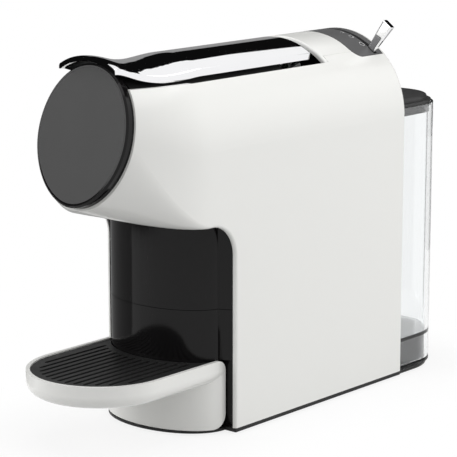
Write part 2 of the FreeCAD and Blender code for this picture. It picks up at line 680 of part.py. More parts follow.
def lever():
    """The long bowed handle, which rises to a finger lip over the disc."""
    neck = -DISC_CENTRE_AHEAD + 22
    straight = prism(lever_section(behind(LEVER_REAR), BODY_HEIGHT, LEVER_HALF, HALF, LEVER_THICKNESS),
                     Y * -LEVER_REAR)
    plan = box(-LEVER_HALF, LEVER_HALF, behind(0), behind(LEVER_REAR), ARC_Z, BODY_HEIGHT + 1)
    corners = [e for e in plan.Edges if e.BoundBox.ZLength > 1 and e.BoundBox.YMin > behind(1)]
    straight = straight.common(plan.makeFillet(LEVER_CORNER, corners))
    barrel = cylinder(Vector(0, behind(0), ARC_Z), Y, HALF, LEVER_REAR)
    end = [e for e in barrel.Edges if e.BoundBox.YMin > behind(LEVER_REAR) - 0.01]
    straight = straight.common(barrel.makeFillet(LEVER_END_ROUND, end))
    middle = (neck - LIP_AHEAD) / 2
    stations = [
        (0.0, 0.0, LEVER_HALF, HALF, LEVER_THICKNESS),
        (-4.0, 0.0, LEVER_HALF, HALF, LEVER_THICKNESS),
        (-HEAD_START - 1, -LEVER_SADDLE, LEVER_HALF - 1.0, HALF - 3, LEVER_THICKNESS),
        (neck + 12, -LEVER_SADDLE / 2, LIP_HALF + 3.4, HALF - 8, LEVER_THICKNESS - 0.4),
        (neck, LIP_RISE / 3, LIP_HALF + 1.6, HALF - 11, LEVER_THICKNESS - 0.6),
        (middle, LIP_RISE * 0.8, LIP_HALF + 0.6, HALF - 12, LEVER_THICKNESS - 0.8),
        (-LIP_AHEAD, LIP_RISE, LIP_HALF, HALF - 12, LEVER_THICKNESS - 1.0),
    ]
    wires = [lever_section(behind(y), BODY_HEIGHT + rise, half, radius, thickness)
             for y, rise, half, radius, thickness in stations]
    strip = straight.fuse(Part.makeLoft(wires, True, False))
    for side in (-1, 1):
        strip = strip.fuse(lever_lug(side))
    bore = cylinder(PIVOT - X * HALF, X, SHAFT_R + RUNNING_FIT, BODY_WIDTH)
    return strip.cut(bore)


def lever_lug(side):
    """A lug under the lever that grips the shaft."""
    x = side * LUG_X - LUG_THICKNESS / 2
    top = ARC_Z + math.sqrt((HALF - LEVER_THICKNESS / 2) ** 2 - (LUG_X + LUG_THICKNESS / 2) ** 2)
    boss = cylinder(PIVOT + X * x, X, LUG_R, LUG_THICKNESS)
    web = box(x, x + LUG_THICKNESS, PIVOT.y - LUG_R, PIVOT.y + LUG_R - 2, PIVOT_Z, top)
    return boss.fuse(web)


def lever_shaft():
    length = (CHEEK_X + CHEEK_THICKNESS + 1.5) * 2
    return cylinder(PIVOT - X * (length / 2), X, SHAFT_R, length)


def cam_radius(angle):
    """Where the pin sits along the brew axis when the lever stands at that angle."""
    return CAM_REST_R - PISTON_TRAVEL * angle / LEVER_SWING


def cam_point(angle, offset):
    """A point beside the cam's track; the track turns under the axis as the lever lifts."""
    a = math.radians(angle)
    slope = -PISTON_TRAVEL / math.radians(LEVER_SWING)
    out = AXIS * math.cos(a) - AXIS_UP * math.sin(a)
    along = AXIS * -math.sin(a) - AXIS_UP * math.cos(a)
    tangent = out * slope + along * cam_radius(angle)
    normal = out * cam_radius(angle) - along * slope
    return PIVOT + out * cam_radius(angle) + normal * (offset / tangent.Length)


def cam_band(width, start, end):
    """The face of a band along the cam's track, width wide."""
    steps = [start + (end - start) * i / 8 for i in range(9)]
    outside = [cam_point(a, width / 2) for a in steps]
    inside = [cam_point(a, -width / 2) for a in steps[::-1]]
    return Part.Face(Part.Wire([spline(outside), Part.makeLine(outside[-1], inside[0]), spline(inside),
                                Part.makeLine(inside[-1], outside[0])]))


def lever_cam():
    """Two plates on the shaft, with a spiral track that draws the piston's pin back."""
    slot = PIN_R * 2 + SLOT_SLACK * 2
    plates = []
    for side in (-1, 1):
        start = side * CAM_HALF_GAP if side > 0 else -CAM_HALF_GAP - CAM_THICKNESS
        thick = X * CAM_THICKNESS
        plate = cam_band(slot + CAM_RIM * 2, -10, LEVER_SWING + 21).extrude(thick)
        web = polygon([PIVOT] + [cam_point(angle, 0) for angle in (-10, 15, 45, LEVER_SWING + 21)])
        plate = plate.fuse(Part.Face(web).extrude(thick))
        plate = plate.fuse(cylinder(PIVOT, X, CAM_HUB_R, CAM_THICKNESS))
        plate = plate.cut(cam_band(slot, -6, LEVER_SWING + 13).extrude(thick))
        plate = plate.cut(cylinder(PIVOT, X, SHAFT_R + RUNNING_FIT, CAM_THICKNESS))
        plate.translate(X * start)
        plates.append(plate)
    return Part.makeCompound(plates)


def on_axis(distance):
    return PIVOT + AXIS * distance


def piston():
    """The cup that closes over a pod, and the rod back to the cam."""
    cup = cylinder(on_axis(CUP_BACK), AXIS, CUP_R, CUP_FRONT - CUP_BACK)
    hollow = cylinder(on_axis(CUP_BACK + CUP_FLOOR), AXIS, CUP_R - CUP_WALL, CUP_FRONT - CUP_BACK)
    rod = cylinder(on_axis(CAM_REST_R - ROD_R - 1), AXIS, ROD_R, CUP_BACK - CAM_REST_R + ROD_R + 2)
    pin_hole = cylinder(on_axis(CAM_REST_R) - X * HALF, X, PIN_R + RUNNING_FIT, BODY_WIDTH)
    return cup.cut(hollow).fuse(rod).cut(pin_hole)


def piston_pin():
    length = (CAM_HALF_GAP + CAM_THICKNESS + 2) * 2
    return cylinder(on_axis(CAM_REST_R) - X * (length / 2), X, PIN_R, length)


def brew_head():
    """The fixed plate that a pod is pressed against, held between the side plates."""
    start = on_axis(CUP_FRONT + CLEARANCE)
    block = cylinder(start, AXIS, CUP_R + 1, BREW_HEAD_LENGTH)
    bar_half = CHEEK_X - 0.1
    bar = cylinder(on_axis(CUP_FRONT + BREW_HEAD_LENGTH / 2) - X * bar_half, X, 7, bar_half * 2)
    dish = cylinder(start, AXIS, POD_R, 3)
    port = cylinder(start, AXIS, SPOUT_BORE_R, BREW_HEAD_LENGTH)
    return block.fuse(bar).cut(dish).cut(port)


def spout():
    """The duct from the brew head and the nozzle it ends in, over the middle of the tray."""
    start = on_axis(CUP_FRONT + CLEARANCE + BREW_HEAD_LENGTH)
    end = Vector(0, behind(-SPOUT_AHEAD), SPOUT_TOP - DUCT_R)
    run = end - start
    nozzle_length = SPOUT_TOP - SPOUT_BOTTOM
    nozzle = cylinder(Vector(0, end.y, SPOUT_BOTTOM), Z, SPOUT_R, nozzle_length)
    flange = cylinder(start, AXIS, DUCT_R + 3, 3)
    solid = nozzle.fuse(cylinder(start + AXIS, run, DUCT_R, run.Length)).fuse(flange)
    solid = solid.cut(cylinder(Vector(0, end.y, SPOUT_BOTTOM), Z, SPOUT_BORE_R, nozzle_length - 5))
    ahead = cylinder(start - AXIS * 20, AXIS, HALF, 20)
    return solid.cut(cylinder(start, run, SPOUT_BORE_R, run.Length)).cut(ahead)


def cheek_outline(x):
    """A side plate along the brew axis, from the brew head to round the lever's shaft."""
    tail, nose = 9.0, CUP_FRONT + BREW_HEAD_LENGTH - 2
    low, high = AXIS_UP * -CHEEK_HEIGHT, AXIS_UP * 7
    corners = [on_axis(-tail + 2) + high, on_axis(nose) + high,
               on_axis(nose) + low, on_axis(-tail) + low * 0.55]
    return polygon([c + X * x for c in corners])


def brew_frame():
    """Two side plates that tie the brew head to the lever's shaft and take the closing force."""
    plates = []
    for x in (-CHEEK_X - CHEEK_THICKNESS, CHEEK_X):
        plate = prism(cheek_outline(x), X * CHEEK_THICKNESS)
        plates.append(plate.cut(cylinder(PIVOT - X * HALF, X, SHAFT_R + RUNNING_FIT, BODY_WIDTH)))
    return Part.makeCompound(plates)


def frame_screws():
    """Screws through the side plates into the brew head."""
    screws = []
    for side in (-1, 1):
        for shift in (-FRAME_SCREW_PITCH / 2, FRAME_SCREW_PITCH / 2):
            along = on_axis(CUP_FRONT + BREW_HEAD_LENGTH / 2 + shift)
            outside = along + X * (side * (CHEEK_X + CHEEK_THICKNESS))
            screws.append(cylinder(outside, X * side, FRAME_SCREW_R, FRAME_SCREW_HEIGHT))
    return Part.makeCompound(screws)


# Base, bin and drip tray

def rounded_plan(half, front, rear, front_r, rear_r, z):
    """A plan with square sides and two sizes of corner, front and rear."""
    def corner(cx, cy, r, angle):
        turns = [math.radians(angle + t) for t in (0, 45, 90)]
        return Part.Arc(*[Vector(cx + r * math.cos(a), cy + r * math.sin(a), z) for a in turns]).toShape()

    arcs = [
        corner(half - rear_r, rear - rear_r, rear_r, 0),
        corner(-half + rear_r, rear - rear_r, rear_r, 90),
        corner(-half + front_r, front + front_r, front_r, 180),
        corner(half - front_r, front + front_r, front_r, 270),
    ]
    edges = []
    for i, arc in enumerate(arcs):
        edges.append(arc)
        edges.append(Part.makeLine(arc.Vertexes[-1].Point, arcs[(i + 1) % 4].Vertexes[0].Point))
    return Part.Wire(edges)


def tank_plan(inset, z0, z1):
    """The tank's plan, set in from its outer face, as a block between two heights."""
    front, rear = behind(BODY_DEPTH) + TANK_GAP + inset, behind(BODY_DEPTH + TANK_DEPTH) - inset
    wire = rounded_plan(TANK_HALF - inset, front, rear,
                        TANK_FRONT_CORNER - inset, TANK_CORNER - inset, z0)
    return prism(wire, Vector(0, 0, z1 - z0))


def foot_places():
    rows = [(HALF - FOOT_INSET, FOOT_INSET), (HALF - FOOT_INSET, BODY_DEPTH - FOOT_INSET),
            (TANK_HALF - TANK_CORNER * 0.6, BODY_DEPTH + TANK_DEPTH - FOOT_INSET * 1.5),
            (COLUMN_HALF / 2, -COLUMN_REACH / 2)]
    return [Vector(side * x, behind(y), 0) for x, y in rows for side in (-1, 1)]


def screw_places():
    return [Vector(side * (CHASSIS_HALF - 4), behind(y), 0) for side in (-1, 1)
            for y in (CHASSIS_FRONT + 6, CHASSIS_REAR - 6)]


def base_plate():
    """The black floor: under the casing, back under the tank and forward under the tray's foot."""
    body = box(-HALF, HALF, behind(0), behind(BODY_DEPTH), FOOT_HEIGHT, BASE_TOP)
    upright = [e for e in body.Edges if e.BoundBox.ZLength > 1 and e.BoundBox.YMin > behind(1)]
    body = body.makeFillet(REAR_EDGE_ROUND, upright)
    neck = box(-TANK_HALF + 6, TANK_HALF - 6, behind(BODY_DEPTH - 8), behind(BODY_DEPTH + 8),
               FOOT_HEIGHT, BASE_TOP)
    tail = tank_plan(0, FOOT_HEIGHT, BASE_TOP).fuse(neck)
    tongue = column_solid(COLUMN_HALF + 2, COLUMN_REACH + 4, behind(4),
                          FOOT_HEIGHT, PEDESTAL_BOTTOM - CLEARANCE)
    outer, inner = HALF - WALL - CLEARANCE, HALF - WALL * 2 - CLEARANCE
    front, rear = behind(WALL + CLEARANCE), behind(BODY_DEPTH - WALL - CLEARANCE)
    rim = box(-outer, outer, front, rear, BASE_TOP, BASE_TOP + BASE_RIM)
    rim = rim.cut(box(-inner, inner, front - 1, rear - WALL, BASE_TOP - 1, BASE_TOP + BASE_RIM + 1))
    rim = rim.cut(box(-HOSE_R * 3, HOSE_R * 3, behind(CHASSIS_REAR), rear + 1,
                      BASE_TOP - 1, BASE_TOP + BASE_RIM + 1))
    plate = body.fuse(tail).fuse(tongue).fuse(rim)
    for place in screw_places():
        plate = plate.cut(cylinder(place, Z, SCREW_R + 0.1, BASE_TOP * 2))
        plate = plate.cut(cylinder(place, Z, SCREW_HEAD_R + 0.2, FOOT_HEIGHT + SCREW_HEAD_HEIGHT + 0.1))
    return plate


def feet():
    return Part.makeCompound([cylinder(place, Z, FOOT_R, FOOT_HEIGHT) for place in foot_places()])


def base_screws():
    screws = []
    for place in screw_places():
        low = place + Z * (FOOT_HEIGHT + 0.1)
        head_part = cylinder(low, Z, SCREW_HEAD_R, SCREW_HEAD_HEIGHT)
        slot = box(low.x - SCREW_HEAD_R, low.x + SCREW_HEAD_R, low.y - 0.4, low.y + 0.4,
                   low.z - 1, low.z + 0.7)
        shank = cylinder(low, Z, SCREW_R, BASE_TOP + CHASSIS_WALL - low.z)
        screws.append(head_part.fuse(shank).cut(slot))
    return Part.makeCompound(screws)


def pod_bin():
    """The black bin under the column, which used pods fall into."""
    outer = column_solid(COLUMN_HALF, COLUMN_REACH, behind(BIN_REAR), BIN_BOTTOM, SEAM_Z)
    inner = column_solid(COLUMN_HALF - BIN_WALL, COLUMN_REACH - BIN_WALL, behind(BIN_REAR - BIN_WALL),
                         BIN_BOTTOM + BIN_WALL, SEAM_Z + 1)
    return outer.cut(inner)


def tongue_plan(inset, rear, z0, z1):
    """The tray's plan: straight sides that end in a half round at the front."""
    r = TRAY_R - inset
    y = behind(-TRAY_CENTRE_AHEAD)
    left, right = Vector(-r, y, z0), Vector(r, y, z0)
    back_l, back_r = Vector(-r, rear, z0), Vector(r, rear, z0)
    wire = Part.Wire([
        Part.Arc(left, Vector(0, y - r, z0), right).toShape(),
        Part.makeLine(right, back_r),
        Part.makeLine(back_r, back_l),
        Part.makeLine(back_l, left),
    ])
    return prism(wire, Vector(0, 0, z1 - z0))


def drip_tray():
    """The white tray: a shallow bowl ahead of a collar that stands round the pod bin."""
    rear = behind(-PEDESTAL_REAR)
    bowl = tongue_plan(0, rear, TRAY_BOTTOM, TRAY_TOP)
    low = [e for e in bowl.Edges if e.BoundBox.ZMax < TRAY_BOTTOM + 0.01 and e.BoundBox.YMin < rear - 1]
    bowl = bowl.makeFillet(TRAY_ROUND, low)
    pedestal = column_solid(TRAY_R, PEDESTAL_REACH, behind(WALL), PEDESTAL_BOTTOM, TRAY_TOP)
    solid = bowl.fuse(pedestal)
    grille_seat = TRAY_TOP - GRILLE_DROP - GRILLE_THICKNESS
    upper = tongue_plan(TRAY_WALL, rear + 1, grille_seat, TRAY_TOP + 1)
    lower = tongue_plan(TRAY_WALL + GRILLE_LEDGE, behind(-PEDESTAL_REACH / 2),
                        TRAY_BOTTOM + TRAY_FLOOR, TRAY_TOP)
    collar = column_solid(COLUMN_HALF + WALL, COLUMN_REACH + WALL, behind(WALL), 0, TRAY_TOP + 1)
    solid = solid.cut(upper).cut(lower.cut(collar))
    pocket = column_solid(COLUMN_HALF + CLEARANCE, COLUMN_REACH + CLEARANCE, behind(WALL),
                          PEDESTAL_BOTTOM + PEDESTAL_FLOOR, TRAY_TOP + 1)
    return solid.cut(pocket).cut(wing_trim(rear))


def wing_trim(rear):
    """What is trimmed off behind the collar, so that its two wings end in rounded corners."""
    low, high = PEDESTAL_BOTTOM, TRAY_TOP
    keep = box(-HALF, HALF, behind(-TRAY_REACH - 1), rear, low, high)
    upper = [e for e in keep.Edges if e.BoundBox.XLength > 1
             and e.BoundBox.YMin > rear - 1 and e.BoundBox.ZMin > high - 1]
    keep = keep.makeFillet(WING_TOP_CORNER, upper)
    lower = [e for e in keep.Edges if e.BoundBox.XLength > 1
             and e.BoundBox.YMin > rear - 1 and e.BoundBox.ZMax < low + 1]
    keep = keep.makeFillet(WING_LOW_CORNER, lower)
    return box(-HALF, HALF, behind(-TRAY_REACH - 1), behind(WALL + 1), low - 1, high + 1).cut(keep)


def drip_grille():
    top = TRAY_TOP - GRILLE_DROP
    low = top - GRILLE_THICKNESS
    plate = tongue_plan(TRAY_WALL + CLEARANCE, behind(-PEDESTAL_REAR - 4), low, top)
    plate = plate.cut(column_solid(COLUMN_HALF + CLEARANCE * 2, COLUMN_REACH + CLEARANCE * 2,
                                   behind(WALL), 0, top + 1))
    limit = TRAY_R - TRAY_WALL - GRILLE_MARGIN
    count = int(limit / GRILLE_PITCH)
    for i in range(-count, count + 1):
        x = i * GRILLE_PITCH
        front = behind(-TRAY_CENTRE_AHEAD) - math.sqrt(limit ** 2 - x ** 2)
        share = 1 - (abs(x) / COLUMN_HALF) ** COLUMN_SQUARENESS
        rear = behind(-COLUMN_REACH * share ** (1 / COLUMN_SQUARENESS) - GRILLE_MARGIN)
        slot = box(x - GRILLE_SLOT / 2, x + GRILLE_SLOT / 2, front, rear, low - 1, top + 1)
        for y in (front, rear):
            slot = slot.fuse(cylinder(Vector(x, y, low - 1), Z, GRILLE_SLOT / 2, GRILLE_THICKNESS + 2))
        plate = plate.cut(slot)
    return plate


# Water tank and its dock

def tank_centre(z):
    return Vector(0, behind(BODY_DEPTH + TANK_DEPTH / 2), z)


def water_tank():
    tank = tank_plan(0, TANK_BOTTOM, TANK_RIM)
    tank = tank.cut(tank_plan(TANK_WALL, TANK_FLOOR_Z + TANK_WALL, TANK_RIM + 1))
    tank = tank.cut(tank_plan(TANK_WALL - RIM_STEP, TANK_RIM - LID_SEAT, TANK_RIM + 1))
    tank = tank.cut(tank_plan(TANK_WALL, TANK_BOTTOM - 1, TANK_FLOOR_Z))
    nozzle = cylinder(tank_centre(TANK_FLOOR_Z - NOZZLE_LENGTH), Z, VALVE_BORE + TANK_WALL, NOZZLE_LENGTH + 1)
    inside = behind(BODY_DEPTH) + TANK_GAP + TANK_WALL + 1
    notch = box(-HOSE_R * 3, HOSE_R * 3, behind(BODY_DEPTH - 1), inside,
                TANK_BOTTOM - 1, SUCTION_Z + HOSE_R + TANK_GAP)
    bore = cylinder(tank_centre(0), Z, VALVE_BORE, TANK_RIM)
    return tank.fuse(nozzle).cut(bore).cut(notch)


def tank_valve():
    floor = TANK_FLOOR_Z + TANK_WALL + 0.1
    stem = cylinder(tank_centre(TANK_FLOOR_Z - NOZZLE_LENGTH + 1), Z, VALVE_BORE - 1.6,
                    floor - TANK_FLOOR_Z + NOZZLE_LENGTH)
    return stem.fuse(cylinder(tank_centre(floor), Z, VALVE_BORE + 2, 2.2))


def tank_dome():
    """A slotted filter dome over the valve, standing on the tank's floor."""
    low = TANK_FLOOR_Z + TANK_WALL
    radius = (DOME_R ** 2 + DOME_RISE ** 2) / (2 * DOME_RISE)
    centre = tank_centre(low + DOME_RISE - radius)
    dome = Part.makeSphere(radius, centre).cut(Part.makeSphere(radius - 1.6, centre))
    dome = dome.common(cylinder(tank_centre(low), Z, DOME_R + 5, DOME_RISE + 5))
    for angle in range(0, 180, 30):
        slot = box(-DOME_R * 2, DOME_R * 2, -0.8, 0.8, 1.5, DOME_RISE * 0.45)
        slot.rotate(Vector(0, 0, 0), Z, angle)
        slot.translate(tank_centre(low))
        dome = dome.cut(slot)
    return dome


def tank_lid():
    """The dark lid, which sits on a ledge inside the tank's rim."""
    edge, seat = TANK_WALL - RIM_STEP + CLEARANCE, TANK_RIM - LID_SEAT
    flange = tank_plan(edge, seat, TANK_RIM + LID_FLANGE)
    cap = tank_plan(edge + LID_STEP, seat, TANK_RIM + LID_PLATE)
    top = [e for e in cap.Edges if e.BoundBox.ZMin > TANK_RIM + LID_PLATE - 0.01]
    cap = cap.makeFillet(1.5, top)
    fit = TANK_WALL + CLEARANCE
    skirt = tank_plan(fit, TANK_RIM - LID_SKIRT, TANK_RIM)
    skirt = skirt.cut(tank_plan(fit + 1.8, TANK_RIM - LID_SKIRT - 1, TANK_RIM + 1))
    return flange.fuse(cap).fuse(skirt)


def tank_dock():
    """The block that the tank stands over, with the socket for its nozzle."""
    top = TANK_FLOOR_Z - DOCK_GAP
    block = tank_plan(TANK_WALL + DOCK_GAP, BASE_TOP, top)
    socket_r = VALVE_BORE + TANK_WALL + SEAL_R * 2
    socket = cylinder(tank_centre(TANK_FLOOR_Z - NOZZLE_LENGTH - SOCKET_ROOM), Z, socket_r,
                      NOZZLE_LENGTH + SOCKET_ROOM + 2)
    port = cylinder(Vector(0, behind(BODY_DEPTH), SUCTION_Z), Y, HOSE_R - 1, TANK_DEPTH / 2)
    return block.cut(socket).cut(port)


def tank_seal():
    ring_r = VALVE_BORE + TANK_WALL + SEAL_R
    return Part.makeTorus(ring_r, SEAL_R - RUNNING_FIT, tank_centre(TANK_FLOOR_Z - NOZZLE_LENGTH / 2), Z)


# Water works

def chassis():
    """The inner frame: a floor, two brackets for the pump and two side plates up to the brew group."""
    low, floor = BASE_TOP, BASE_TOP + CHASSIS_WALL
    frame = box(-CHASSIS_HALF, CHASSIS_HALF, behind(CHASSIS_FRONT), behind(CHASSIS_REAR), low, floor)
    inner = CHASSIS_INNER
    for x in (-inner - CHASSIS_WALL, inner):
        wall = box(x, x + CHASSIS_WALL, behind(CHASSIS_FRONT + 14), behind(CHASSIS_REAR - 16),
                   low, CHASSIS_TOP)
        notch = cylinder(Vector(x - 1, behind(PUMP_FRONT + PUMP_LENGTH / 2), CHASSIS_TOP / 3), X,
                         PUMP_R, CHASSIS_WALL + 2)
        frame = frame.fuse(wall).cut(notch)
    for y in mount_places():
        frame = frame.fuse(box(-inner, inner, y, y + PUMP_MOUNT_WIDTH, low, PUMP_Z))
        frame = frame.cut(cylinder(Vector(0, y - 1, PUMP_Z), Y, PUMP_MOUNT_R + 0.1, PUMP_MOUNT_WIDTH + 2))
    for place in screw_places():
        frame = frame.cut(cylinder(place, Z, SCREW_R + 0.1, floor + 1))
    return frame.fuse(heater_shelf(inner))


def heater_shelf(inner):
    front = behind(HEATER_FRONT)
    return box(-inner, inner, front, front + HEATER_SIZE[1], HEATER_Z - CHASSIS_WALL, HEATER_Z)


def mount_places():
    front = behind(PUMP_FRONT)
    return [front + 6, front + PUMP_LENGTH - PUMP_MOUNT_WIDTH - 6]


def pump():
    """A solenoid pump: a square coil on a round barrel."""
    front = behind(PUMP_FRONT)
    barrel = cylinder(Vector(0, front, PUMP_Z), Y, PUMP_BARREL_R, PUMP_LENGTH)
    coil_front = front + 6 + PUMP_MOUNT_WIDTH + 3
    coil_rear = front + PUMP_LENGTH - PUMP_MOUNT_WIDTH - 9
    coil = box(-PUMP_R, PUMP_R, coil_front, coil_rear, PUMP_Z - PUMP_R, PUMP_Z + PUMP_R)
    long_edges = [e for e in coil.Edges if e.BoundBox.YLength > 1]
    coil = coil.makeFillet(4, long_edges)
    inlet = cylinder(Vector(0, front + PUMP_LENGTH, PUMP_Z), Y, HOSE_R, 6)
    outlet = cylinder(Vector(0, front - 4, PUMP_Z), Y, HOSE_R, 4)
    return barrel.fuse(coil).fuse(inlet).fuse(outlet)


def pump_mounts():
    mounts = [tube(Vector(0, y, PUMP_Z), Y, PUMP_MOUNT_R, PUMP_BARREL_R + RUNNING_FIT, PUMP_MOUNT_WIDTH)
              for y in mount_places()]
    return Part.makeCompound(mounts)


def thermoblock():
    width, depth, height = HEATER_SIZE
    front = behind(HEATER_FRONT)
    block = box(-width / 2, width / 2, front, front + depth, HEATER_Z, HEATER_Z + height)
    block = block.makeFillet(4, [e for e in block.Edges if e.BoundBox.ZLength > 1])
    for i in range(4):
        z = HEATER_Z + height * (i + 1) / 5
        groove = box(-width, width, front - 1, front + depth + 1, z - 1.5, z + 1.5)
        core = box(-width / 2 + 3, width / 2 - 3, front + 3, front + depth - 3, z - 2, z + 2)
        block = block.cut(groove.cut(core))
    return block


def flow_meter():
    x = CHASSIS_INNER + CHASSIS_WALL + CLEARANCE
    body = cylinder(Vector(x, behind(METER_Y), HEATER_Z), X, METER_R, METER_LENGTH)
    stub = Vector(x + METER_LENGTH / 2, behind(METER_Y), HEATER_Z - METER_R - 6)
    return body.fuse(cylinder(stub, Z, HOSE_R, 8))


def hose(points, radius):
    """A round hose through points in the middle plane, with its bends rounded."""
    edges = []
    here = points[0]
    for i in range(1, len(points) - 1):
        corner = points[i]
        back = (points[i - 1] - corner).normalize()
        on = (points[i + 1] - corner).normalize()
        start, end = corner + back * radius, corner + on * radius
        inside = corner + (back + on) * radius
        middle = inside - (back + on).normalize() * radius
        if (start - here).Length > 1e-6:
            edges.append(Part.makeLine(here, start))
        edges.append(Part.Arc(start, middle, end).toShape())
        here = end
    edges.append(Part.makeLine(here, points[-1]))
    first = (points[1] - points[0]).normalize()
    ring = Part.Wire([Part.makeCircle(HOSE_R, points[0], first)])
    return Part.Wire(edges).makePipeShell([ring], True, True)


def at(y, z):
    return Vector(0, behind(y), z)


def suction_hose():
    rear = BODY_DEPTH + TANK_GAP + TANK_WALL + DOCK_GAP
    end = PUMP_FRONT + PUMP_LENGTH + 6
    middle = (rear + end) / 2 - 2
    return hose([at(rear, SUCTION_Z), at(middle, SUCTION_Z), at(middle, PUMP_Z), at(end, PUMP_Z)], HOSE_BEND)


def pressure_hose():
    front = PUMP_FRONT - 4
    turn = front - HOSE_BEND - 0.5
    high = HEATER_Z + 30
    return hose([at(front, PUMP_Z), at(turn, PUMP_Z), at(turn, high), at(HEATER_FRONT, high)], HOSE_BEND)


def brew_hose():
    """The flexible feed from the heater to the piston's cup."""
    top = HEATER_Z + HEATER_SIZE[2]
    middle = HEATER_FRONT + HEATER_SIZE[1] / 2
    cup = on_axis(CUP_BACK + CUP_FLOOR / 2) - AXIS_UP * CUP_R
    reach = cup.y - EDGE_Y
    high = top + 17
    return hose([at(middle, top), at(middle, high), at(reach, high), at(reach, cup.z - 1.2)], HOSE_BEND)


def bay_wall():
    """The wall behind the pod bin, which keeps the wet side from the works."""
    half = HALF - WALL - CLEARANCE * 2
    front = behind(BIN_REAR + 1)
    wall = box(-half, half, front, front + BAY_WALL, BASE_TOP + BASE_RIM + CLEARANCE, BAY_WALL_TOP)
    web = box(-CHASSIS_HALF, CHASSIS_HALF, front, front + BAY_WALL, BASE_TOP, BAY_WALL_TOP)
    foot = box(-CHASSIS_HALF, CHASSIS_HALF, front, behind(CHASSIS_FRONT) - CLEARANCE,
               BASE_TOP, BASE_TOP + BAY_WALL)
    return wall.fuse(web).fuse(foot)


def cord_gland():
    start = Vector(-HALF, behind(GLAND_Y), GLAND_Z)
    sleeve = cylinder(start, X, GLAND_R - 0.2, WALL + 3)
    flange = cylinder(start + X * (WALL + 0.2), X, GLAND_R + 2, 2)
    return sleeve.fuse(flange).cut(cylinder(start, X, GLAND_BORE, WALL + 6))


def build():
    add("body_shell", casing())
    add("front_disc", front_disc())
    add("disc_rim", disc_rim())
    add("front_column", front_column())
    add("top_deck", deck())
    add("top_bridge", top_bridge())
    add("control_panel", control_panel())
    add("panel_lights", panel_lights())
    add("control_board", control_board())
    add("board_rails", board_rails())
    add("selector_paddle", selector_paddle())
    add("selector_arm", selector_arm())
    add("selector_shaft", selector_shaft())
    add("rear_panel", rear_panel())
    add("cord_gland", cord_gland())
    add("lever", lever())
    add("lever_shaft", lever_shaft())
    add("lever_cam", lever_cam())
    add("piston", piston())
    add("piston_pin", piston_pin())
    add("brew_head", brew_head())
    add("brew_frame", brew_frame())
    add("frame_screws", frame_screws())
    add("spout", spout())
    add("base_plate", base_plate())
    add("feet", feet())
    add("base_screws", base_screws())
    add("pod_bin", pod_bin())
    add("drip_tray", drip_tray())
    add("drip_grille", drip_grille())
    add("water_tank", water_tank())
    add("tank_valve", tank_valve())
    add("tank_dome", tank_dome())
    add("tank_lid", tank_lid())
    add("tank_dock", tank_dock())
    add("tank_seal", tank_seal())
    add("chassis", chassis())
    add("bay_wall", bay_wall())
    add("pump", pump())
    add("pump_mounts", pump_mounts())
    add("thermoblock", thermoblock())
    add("flow_meter", flow_meter())
    add("suction_hose", suction_hose())
    add("pressure_hose", pressure_hose())
    add("brew_hose", brew_hose())


def main():
    os.makedirs("parts", exist_ok=True)
    build()
    for name, shape in PARTS.items():
        print(f"{name}: {len(shape.Solids)} solids, valid {shape.isValid()}, {shape.Volume / 1000:.2f} cm3")
        shape.exportStep(f"parts/{name}.step")


main()
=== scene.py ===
import json
import math

import bmesh
import bpy
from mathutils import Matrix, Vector


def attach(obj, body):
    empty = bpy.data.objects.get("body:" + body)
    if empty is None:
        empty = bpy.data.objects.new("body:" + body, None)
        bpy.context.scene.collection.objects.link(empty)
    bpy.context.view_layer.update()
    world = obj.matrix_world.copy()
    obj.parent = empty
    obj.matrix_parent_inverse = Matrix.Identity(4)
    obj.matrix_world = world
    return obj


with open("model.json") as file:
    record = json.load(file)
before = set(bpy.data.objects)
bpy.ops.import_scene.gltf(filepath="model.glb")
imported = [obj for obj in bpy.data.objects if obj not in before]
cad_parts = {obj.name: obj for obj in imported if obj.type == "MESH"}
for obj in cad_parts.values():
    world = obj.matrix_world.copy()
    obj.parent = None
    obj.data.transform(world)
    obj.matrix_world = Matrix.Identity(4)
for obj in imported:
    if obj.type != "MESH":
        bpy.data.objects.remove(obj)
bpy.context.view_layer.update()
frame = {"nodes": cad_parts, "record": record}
scene = bpy.context.scene
nodes = frame["nodes"]

EDGE_Y = -0.06715         # front edge of the casing's flanks


# Shader trees

NOISE_LOW, NOISE_HIGH = 0.3, 0.7      # the part of the noise's range that is used


def empty_tree(owner, output):
    """Clears a material's or world's nodes; gives its tree and the output's surface socket."""
    owner.use_nodes = True
    tree = owner.node_tree
    tree.nodes.clear()
    return tree, tree.nodes.new(output).inputs[0]


def new_material(name):
    m = bpy.data.materials.new(name)
    tree, surface = empty_tree(m, "ShaderNodeOutputMaterial")
    bsdf = tree.nodes.new("ShaderNodeBsdfPrincipled")
    tree.links.new(bsdf.outputs[0], surface)
    return m, tree, bsdf


def noise(tree, scale, detail=2.0, rough=0.5, stretch=None):
    coords = tree.nodes.new("ShaderNodeTexCoord")
    tex = tree.nodes.new("ShaderNodeTexNoise")
    tex.inputs["Scale"].default_value = scale
    tex.inputs["Detail"].default_value = detail
    tex.inputs["Roughness"].default_value = rough
    if stretch:
        mapping = tree.nodes.new("ShaderNodeMapping")
        mapping.inputs["Scale"].default_value = stretch
        tree.links.new(coords.outputs["Object"], mapping.inputs[0])
        tree.links.new(mapping.outputs[0], tex.inputs["Vector"])
    else:
        tree.links.new(coords.outputs["Object"], tex.inputs["Vector"])
    return tex.outputs[0]


def spread(tree, source, low, high):
    """Maps noise to a range of values."""
    node = tree.nodes.new("ShaderNodeMapRange")
    node.inputs["From Min"].default_value = NOISE_LOW
    node.inputs["From Max"].default_value = NOISE_HIGH
    node.inputs["To Min"].default_value = low
    node.inputs["To Max"].default_value = high
    tree.links.new(source, node.inputs[0])
    return node.outputs[0]


